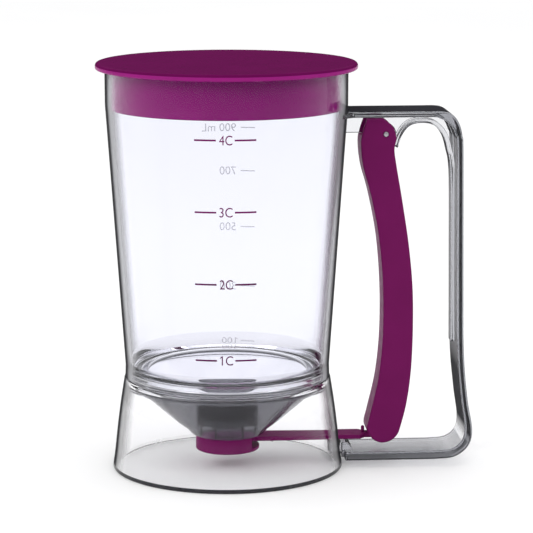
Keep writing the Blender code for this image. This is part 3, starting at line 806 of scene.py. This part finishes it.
def make_housing():
    top = FUNNEL_BOTTOM_Z - GAP
    floor = HOUSING_BOTTOM_Z + HOUSING_FLOOR
    inner_r = HOUSING_R - HOUSING_WALL
    corners = [(HOUSING_R, HOUSING_BOTTOM_Z, 0.8), (HOUSING_R, top, 0.25), (inner_r, top, 0.25),
               (inner_r, floor, 0.0), (DISCHARGE_R, floor, 0.3),
               (DISCHARGE_R, HOUSING_BOTTOM_Z, 0.5)]
    housing = turned("valve_housing_cup", filleted(corners), PURPLE_SATIN, steps=128)
    half = GATE_R + 0.4
    cut(housing, block("gate_way", GATE_WAY_X, (-half, half), (floor, top + 1)))
    return stand_for(tidy_shading(housing), "valve_housing", "jug_assembly")


def make_gate():
    bar = GATE_BAR_W / 2
    neck = GATE_NECK_W / 2
    shoulder = GATE_NECK_X - GATE_SHOULDER
    leave = math.degrees(math.asin(bar / GATE_R))
    outline = [*arc((0.0, 0.0), GATE_R, leave, 360 - leave, 72),
               (shoulder, -bar), (GATE_NECK_X, -neck), (GATE_END_X, -neck),
               (GATE_END_X, neck), (GATE_NECK_X, neck), (shoulder, bar)]
    gate = plate("gate_and_bar", outline, *GATE_Z, 0.3, upright=False, material=PURPLE_SATIN)
    middle = (GATE_Z[0] + GATE_Z[1]) / 2
    peg = [(0.0, middle), (PEG_R, middle), *arc((0.0, PEG_TOP_Z - PEG_R), PEG_R, 0, 90, 8)]
    tab = [(TAB_X, middle), (GATE_END_X - 0.2, middle), (GATE_END_X - 0.2, TAB_TOP_Z),
           (TAB_X, TAB_TOP_Z)]
    barb = [(BARB_X[0], middle), (BARB_X[0], GATE_Z[0]), (BARB_X[1], GATE_Z[0] - BARB_DEPTH),
            (BARB_X[1], middle)]
    tab_half = neck - 0.2
    barb_half = bar - 2.0
    join(gate,
         turned("peg", peg[::-1], steps=32, place=Matrix.Translation((PEG_X, 0.0, 0.0))),
         plate("tab", tab, -tab_half, tab_half, 0.3),
         plate("barb", barb, -barb_half, barb_half, 0.0))
    return stand_for(tidy_shading(gate), "gate_slide", "gate")


# ---------------------------------------------------------------- handle

def body_clearance():
    """Solid that the handle has to stay out of: the jug and the skirt, and a little more."""
    waist = (WAIST_Z - 2.5, WAIST_Z + 2.5)
    outline = [*SKIRT_OUTLINE, (FOOT_R, SEAM_Z), *[(WAIST_R, z) for z in waist],
               TAPER_BOTTOM, TAPER_TOP, (RIM_R, RIM_BOTTOM_Z)]
    below, above = -4.0, 195.0
    profile = [(0.0, below), (56.0, below), *[(r + GAP, z) for r, z in outline],
               (RIM_R + GAP, above), (0.0, above)]
    return turned("body_clearance", profile)


def make_handle():
    strap = [(ARM_ROOT_X, ARM_TOP_Z), *smooth(GRIP_OUTER), (BASE_ARM_ROOT_X, BASE_ARM_UNDER_Z),
             (BASE_ARM_ROOT_X, BASE_ARM_TOP_Z), *smooth(GRIP_INNER), (ARM_ROOT_X, ARM_UNDER_Z)]
    half = HANDLE_W / 2
    handle = plate("handle_moulding", strap, -half, half, STRAP_EDGE_R, material=CLEAR_HANDLE)

    face = smooth(RIB_FACE)
    rib = face + offset(face, RIB_T)[::-1]
    web_edge = [p for p in offset(face, RIB_T / 2) if p[1] > WEB_FOOT_Z]
    web = [(ARM_ROOT_X, WEB_UNDER_Z), *smooth(WEB_HEEL, 4), *web_edge, *WEB_BACK,
           (ARM_ROOT_X, WEB_TOP_Z)]

    flare_y = half + FLARE_R
    flare_x = math.sqrt((RIM_R + FLARE_R) ** 2 - flare_y ** 2)
    touch = math.degrees(math.atan2(-flare_y, -flare_x))
    side = arc((flare_x, flare_y), FLARE_R, touch, -90, 16)
    flare = [(FLARE_ROOT[0], -FLARE_ROOT[1]), *[(x, -y) for x, y in side], *side[::-1], FLARE_ROOT]

    corner = (LUG_X - LUG_CORNER_R, LUG_TOP_Z - LUG_CORNER_R)
    lug_under = BASE_ARM_UNDER_Z + 0.2
    lug = [(ARM_ROOT_X, lug_under), (LUG_X, lug_under), *arc(corner, LUG_CORNER_R, 0, 90, 12),
           (ARM_ROOT_X, LUG_TOP_Z)]
    root = BASE_ARM_ROOT_X + 1.0
    tongue = [(HOOK_X[0], TONGUE_Z[0]), (root, TONGUE_Z[0]), (root, TONGUE_Z[1]),
              (HOOK_X[1], TONGUE_Z[1]), (HOOK_X[1], HOOK_TOP_Z), (HOOK_X[0], HOOK_TOP_Z - HOOK_SLOPE)]
    join(handle,
         plate("web", web, -WEB_T / 2, WEB_T / 2, 0.25),
         plate("rib", rib, -RIB_W / 2, RIB_W / 2, 0.6),
         cross_rod("boss", PIVOT, BOSS_R, BOSS_Y, edge=0.5),
         plate("flare", flare, ARM_UNDER_Z + 0.3, ARM_TOP_Z - 0.3, 0.4, upright=False),
         plate("lug", lug, -LUG_W / 2, LUG_W / 2, 0.7))
    cut(handle, body_clearance())
    join(handle, plate("tongue", tongue, -TONGUE_W / 2, TONGUE_W / 2, 0.3))
    tail = spring_tail_centre()
    cut(handle,
        cross_rod("pin_bore", PIVOT, PIN_BORE_R, PIN_BORE_Y),
        cross_rod("spring_hole", tail, SPRING_HOLE_R, (SPRING_TAIL_Y - 0.4, PIN_BORE_Y[1])))
    return stand_for(tidy_shading(handle), "handle", "jug_assembly")


# ---------------------------------------------------------------- trigger, pin and spring

def make_trigger():
    outline = smooth(TRIGGER_OUTLINE)
    half = TRIGGER_W / 2
    trigger = plate("trigger_lever", outline, -half, half, TRIGGER_EDGE_R, material=PURPLE_SATIN)
    wall = offset(outline[:SMOOTH_STEPS * TRIGGER_HEEL + 1], FACE_T)
    channel = [(wall[0][0], CHANNEL_END[1]), *wall, (CHANNEL_END[0], wall[-1][1]), CHANNEL_END]
    bar_half = GATE_NECK_W / 2 + 0.3
    gap_half = half - CHEEK_T
    cut(trigger,
        plate("channel", channel, -gap_half, gap_half, 0.0),
        block("open_top", (57, 68), (-gap_half, gap_half), (FACE_TOP_Z, 171)),
        block("bar_notch", (60, 76), (-bar_half, bar_half), (8, BAR_NOTCH_TOP_Z)),
        cross_rod("trigger_bore", PIVOT, PIN_BORE_R, (-10, 10)))
    return stand_for(tidy_shading(trigger), "trigger", "trigger")


def make_pin():
    pin = cross_rod("pivot_pin_rod", PIVOT, PIN_R, PIN_Y, edge=PIN_EDGE_R, material=STEEL)
    return stand_for(pin, "pivot_pin", "trigger")


def make_clip():
    """Push-on ring with a slit, sprung on to the pin's far end."""
    corners = [(CLIP_R, CLIP_Y[0], 0.2), (CLIP_R, CLIP_Y[1], 0.2), (CLIP_BORE_R, CLIP_Y[1], 0.1),
               (CLIP_BORE_R, CLIP_Y[0], 0.1)]
    clip = turned("pin_clip_ring", filleted(corners, 3), STEEL, steps=SMALL_STEPS,
                  place=across(PIVOT))
    slit_x = (PIVOT[0] - CLIP_SLIT_W / 2, PIVOT[0] + CLIP_SLIT_W / 2)
    slit_z = (PIVOT[1] + 0.4, PIVOT[1] + CLIP_R + 1.0)
    cut(clip, block("clip_slit", slit_x, (CLIP_Y[0] - 0.3, CLIP_Y[1] + 0.4), slit_z))
    return stand_for(tidy_shading(clip), "pin_clip", "trigger")


def spring_tail_centre():
    """Where the spring's tail enters the handle's boss."""
    return (PIVOT[0] + SPRING_R * math.cos(SPRING_TAIL_ANGLE),
            PIVOT[1] + SPRING_R * math.sin(SPRING_TAIL_ANGLE))


def spring_path():
    """Wire from the leg on the trigger's face, round the pin, to the tail in the boss."""
    leg = Vector((SPRING_LEG_END[0] - PIVOT[0], SPRING_LEG_END[1] - PIVOT[1]))
    tangent = math.atan2(leg.y, leg.x) - math.acos(SPRING_R / leg.length)
    total = 2 * math.pi * SPRING_TURNS + (tangent - SPRING_TAIL_ANGLE) % (2 * math.pi)
    steps = TURN_STEPS * math.ceil(total / (2 * math.pi))
    path = [(SPRING_LEG_END[0], SPRING_Y[1], SPRING_LEG_END[1])]
    for i in range(steps + 1):
        angle = tangent - total * i / steps
        y = SPRING_Y[1] + (SPRING_Y[0] - SPRING_Y[1]) * i / steps
        path.append((PIVOT[0] + SPRING_R * math.cos(angle), y,
                     PIVOT[1] + SPRING_R * math.sin(angle)))
    path.append((path[-1][0], SPRING_TAIL_Y, path[-1][2]))
    return path


def make_spring():
    """Sprung wire, from its leg on the trigger's face round the pin to its tail in the handle's boss.
    """
    curve = bpy.data.curves.new("wire", "CURVE")
    curve.dimensions = "3D"
    curve.bevel_depth = SPRING_WIRE_R * MM
    curve.bevel_resolution = 4
    curve.use_fill_caps = True
    path = spring_path()
    spline = curve.splines.new("POLY")
    spline.points.add(len(path) - 1)
    for point, place in zip(spline.points, path):
        point.co = (*(TO_FRAME @ Vector(place)), 1.0)
    mesh = curve_mesh(curve)
    mesh.materials.clear()
    mesh.materials.append(STEEL)
    mesh.shade_smooth()
    spring = bpy.data.objects.new("return_spring_wire", mesh)
    bpy.context.scene.collection.objects.link(spring)
    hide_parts("return_spring")
    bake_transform(spring)
    return spring


# ---------------------------------------------------------------- printed scales

def wrapped(bm, azimuth, height):
    """Move flat lettering (x to the right, y up, z outwards) on to the jug at that place."""
    radius = jug_radius(height)
    for vert in bm.verts:
        x, y, z = vert.co
        r = jug_radius(height + y) + INK_PROUD + z
        angle = azimuth + x / radius
        vert.co = (r * math.cos(angle), r * math.sin(angle), height + y)


def lettering(text):
    """Flat closed lettering of thickness INK_T, cap height 1 and left edge at 0."""
    curve = bpy.data.curves.new("lettering", "FONT")
    curve.body = text
    curve.extrude = INK_T / 2
    curve.resolution_u = 6
    bm = bmesh.new()
    bm.from_mesh(curve_mesh(curve))
    bmesh.ops.remove_doubles(bm, verts=bm.verts, dist=1e-5)
    left = min(v.co.x for v in bm.verts)
    low = min(v.co.y for v in bm.verts)
    high = max(v.co.y for v in bm.verts)
    for vert in bm.verts:
        vert.co.x = (vert.co.x - left) / (high - low)
        vert.co.y = (vert.co.y - low) / (high - low) - 0.5
        vert.co.z += INK_T / 2
    if text.startswith("1"):
        add_flag(bm)
    return bm


def add_flag(bm):
    """The short upstroke that the plain figure one lacks."""
    corners = ((0.02, 0.5), (-0.2, 0.32), (-0.2, 0.2), (0.02, 0.36))
    low = [bm.verts.new((x, y, 0.0)) for x, y in corners]
    high = [bm.verts.new((x, y, INK_T)) for x, y in corners]
    for i in range(4):
        bm.faces.new((low[i - 1], low[i], high[i], high[i - 1]))
    bm.faces.new(low)
    bm.faces.new(high)


def cut_into_strips(bm, width):
    """Cross-cuts, so that lettering can bend round the jug."""
    left = min(v.co.x for v in bm.verts)
    right = max(v.co.x for v in bm.verts)
    for i in range(1, math.ceil((right - left) / width)):
        bmesh.ops.bisect_plane(bm, geom=[*bm.verts, *bm.edges, *bm.faces],
                               plane_co=(left + i * width, 0.0, 0.0), plane_no=(1.0, 0.0, 0.0))


def line(limits, width, segments=12):
    """Flat closed bar across x limits, middle at y 0."""
    bm = bmesh.new()
    rings = []
    for i in range(segments + 1):
        x = limits[0] + (limits[1] - limits[0]) * i / segments
        corners = ((-width / 2, 0.0), (width / 2, 0.0), (width / 2, INK_T), (-width / 2, INK_T))
        rings.append([bm.verts.new((x, y, z)) for y, z in corners])
    for a, b in zip(rings, rings[1:]):
        for i in range(4):
            bm.faces.new((a[i - 1], a[i], b[i], b[i - 1]))
    bm.faces.new(rings[0])
    bm.faces.new(rings[-1])
    return bm


def print_scale(name, marks, azimuth, material):
    """One print from (bmesh, height) marks."""
    whole = bmesh.new()
    for bm, height in marks:
        wrapped(bm, azimuth, height)
        part = bpy.data.meshes.new("mark")
        bm.to_mesh(part)
        bm.free()
        whole.from_mesh(part)
        bpy.data.meshes.remove(part)
    piece = new_piece(name, whole, material)
    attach(piece, "jug_assembly")
    return piece


def make_prints():
    """Cup marks, fitted to a common width, and millilitre marks on the far wall."""
    cups = []
    for height, text in CUP_SCALE:
        label = lettering(text)
        left = min(v.co.x for v in label.verts)
        wide = max(v.co.x for v in label.verts) - left
        for vert in label.verts:
            vert.co.x = CUP_TEXT[0] + (vert.co.x - left) / wide * (CUP_TEXT[1] - CUP_TEXT[0])
            vert.co.y *= CUP_TEXT_H
        cut_into_strips(label, STRIP_W)
        cups.append((label, height))
        cups += [(line(limits, LINE_W), height) for limits in CUP_LINES]
    print_scale("cup_scale_print", cups, FRONT, CUP_INK)
    millilitres = []
    for height, text in ML_SCALE:
        label = lettering(text)
        for vert in label.verts:
            vert.co.x = ML_TEXT_X + vert.co.x * ML_TEXT_H
            vert.co.y *= ML_TEXT_H
        cut_into_strips(label, STRIP_W)
        millilitres.append((label, height))
        millilitres.append((line(ML_LINE, ML_LINE_W), height))
    print_scale("millilitre_print", millilitres, FRONT + math.pi, PALE_INK)


# ---------------------------------------------------------------- floor, light and camera

def make_floor():
    bm = bmesh.new()
    bmesh.ops.create_circle(bm, cap_ends=True, segments=96, radius=12000.0)
    floor = new_piece("pale_floor", bm, pale_floor("pale_floor"))
    floor.location.z = -FLOOR_DROP


def make_world():
    """White dome, dark near the horizon for reflections and plain white to look at."""
    world = bpy.data.worlds.new("soft_studio")
    bpy.context.scene.world = world
    world.use_nodes = True
    tree = world.node_tree
    background = tree.nodes["Background"]
    direction = tree.nodes.new("ShaderNodeTexCoord").outputs["Generated"]
    split = add_node(tree, "ShaderNodeSeparateXYZ", Vector=direction)
    height = spread(tree, split.outputs["Z"], DOME_BAND, (0.0, 1.0))
    seen = tree.nodes.new("ShaderNodeLightPath").outputs["Is Camera Ray"]
    dome = blend_colour(tree, height, (0.03, 0.03, 0.035), (1.0, 1.0, 1.0))
    tree.links.new(blend_colour(tree, seen, dome, (1.0, 1.0, 1.0)), background.inputs["Color"])
    background.inputs["Strength"].default_value = DOME_STRENGTH


def looking_along(direction):
    """Rotation that turns a lamp or a camera to look along a direction."""
    return Vector(direction).to_track_quat("-Z", "Y").to_euler()


def area_light(name, place, size, power):
    """A soft rectangular lamp that looks at the middle of the object."""
    data = bpy.data.lights.new(name, "AREA")
    data.shape = "RECTANGLE"
    data.size, data.size_y = size
    data.energy = power
    light = bpy.data.objects.new(name, data)
    light.location = place
    light.rotation_euler = looking_along(Vector(LIGHT_AIM) - Vector(place))
    bpy.context.scene.collection.objects.link(light)


def make_lights():
    for name, place, size, power in LIGHTS:
        area_light(name, place, size, power)


def make_camera():
    data = bpy.data.cameras.new("view_camera")
    data.lens = CAMERA_LENS
    data.sensor_width = 36.0
    data.clip_end = 100.0
    camera = bpy.data.objects.new("view_camera", data)
    camera.location = CAMERA_PLACE
    camera.rotation_euler = looking_along(CAMERA_AIM)
    bpy.context.scene.collection.objects.link(camera)
    bpy.context.scene.camera = camera


make_camera()
make_lid()
make_jug()
make_skirt()
make_funnel()
make_sleeve()
make_seat()
make_housing()
make_gate()
make_handle()
make_trigger()
make_pin()
make_clip()
make_spring()
make_prints()
make_floor()
make_world()
make_lights()
bpy.context.scene.view_settings.view_transform = "Standard"
